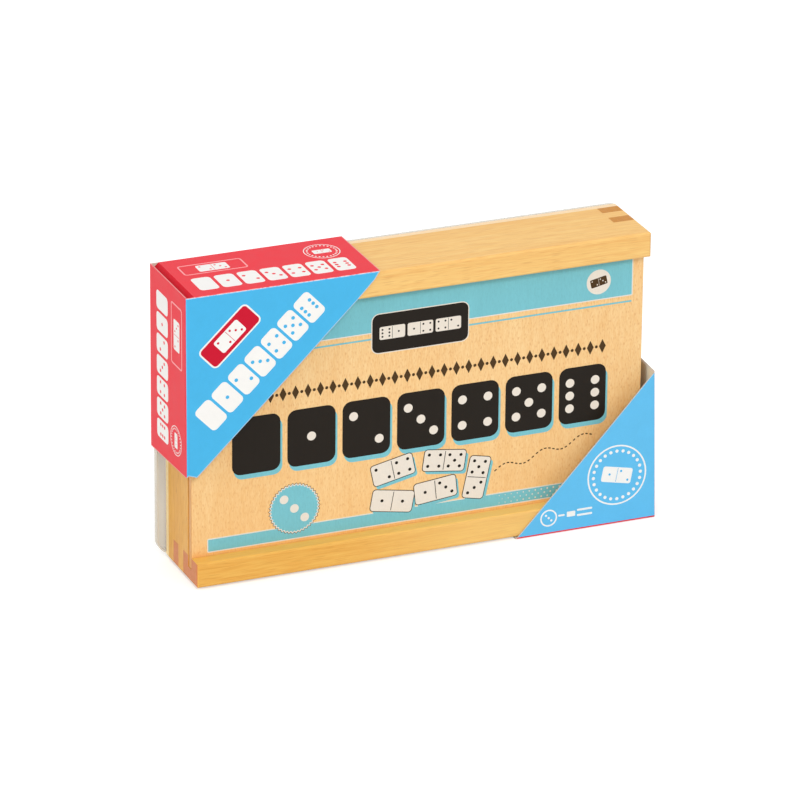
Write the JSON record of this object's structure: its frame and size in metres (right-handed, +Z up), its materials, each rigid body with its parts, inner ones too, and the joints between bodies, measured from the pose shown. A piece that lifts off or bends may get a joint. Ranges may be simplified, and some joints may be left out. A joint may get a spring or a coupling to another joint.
{
  "type": "domino storage box",
  "caption": "Comb-jointed beech game box with a printed sliding lid, packed with dominoes, with a clear rear cover and card pockets over two corners.",
  "frame": {"origin": "centre of the overall box's base, in the plane of the lowest card panel on which the part stands", "axes": "+X along the lid's travel to the right, +Y from the lid to the back, +Z up"},
  "size_m": [0.2302, 0.0458, 0.142],
  "materials": {
    "beech_rail": "satin, straight-grained beech, eased edges",
    "beech_wall": "satin, straight-grained beech, darker end grain",
    "beech_lid": "satin, flecked beech with a screen print",
    "pale_board": "matte, thin pale board",
    "clear_cover": "clear, slightly hazy thermoformed sheet",
    "printed_card": "coated card, blue in front and red on its edges, grey inside",
    "domino_white": "satin white, black pips",
    "lid_print": "thin matte ink in teal, black and white",
    "card_print": "thin satin ink on the card"
  },
  "bodies": {
    "box": {"top_rail": "beech_rail", "bottom_rail": "beech_rail", "left_wall": "beech_wall", "right_wall": "beech_wall", "base_panel": "pale_board", "rear_cover": "clear_cover", "domino_0_0": "domino_white", "domino_0_1": "domino_white", "domino_0_2": "domino_white", "domino_0_3": "domino_white", "domino_0_4": "domino_white", "domino_0_5": "domino_white", "domino_0_6": "domino_white", "domino_1_1": "domino_white", "domino_1_2": "domino_white", "domino_1_3": "domino_white", "domino_1_4": "domino_white", "domino_1_5": "domino_white", "domino_1_6": "domino_white", "domino_2_2": "domino_white", "domino_2_3": "domino_white", "domino_2_4": "domino_white", "domino_2_5": "domino_white", "domino_2_6": "domino_white", "domino_3_3": "domino_white", "domino_3_4": "domino_white", "domino_3_5": "domino_white", "domino_3_6": "domino_white", "domino_4_4": "domino_white", "domino_4_5": "domino_white", "domino_4_6": "domino_white", "domino_5_5": "domino_white", "domino_5_6": "domino_white", "domino_6_6": "domino_white"},
    "lid": {"lid_panel": "beech_lid"},
    "upper_pocket": {"upper_left_pocket": "printed_card"},
    "lower_pocket": {"lower_right_pocket": "printed_card"}
  },
  "joints": [
    {"name": "lid_slide", "type": "slide", "parent": "box", "child": "lid", "axis": [1, 0, 0], "range_m": [0, 0.2]},
    {"name": "upper_pocket_slide", "type": "slide", "parent": "box", "child": "upper_pocket", "axis": [-1, 0, 0], "range_m": [0, 0.1]},
    {"name": "lower_pocket_slide", "type": "slide", "parent": "lid", "child": "lower_pocket", "axis": [1, 0, 0], "range_m": [0, 0.08]}
  ]
}
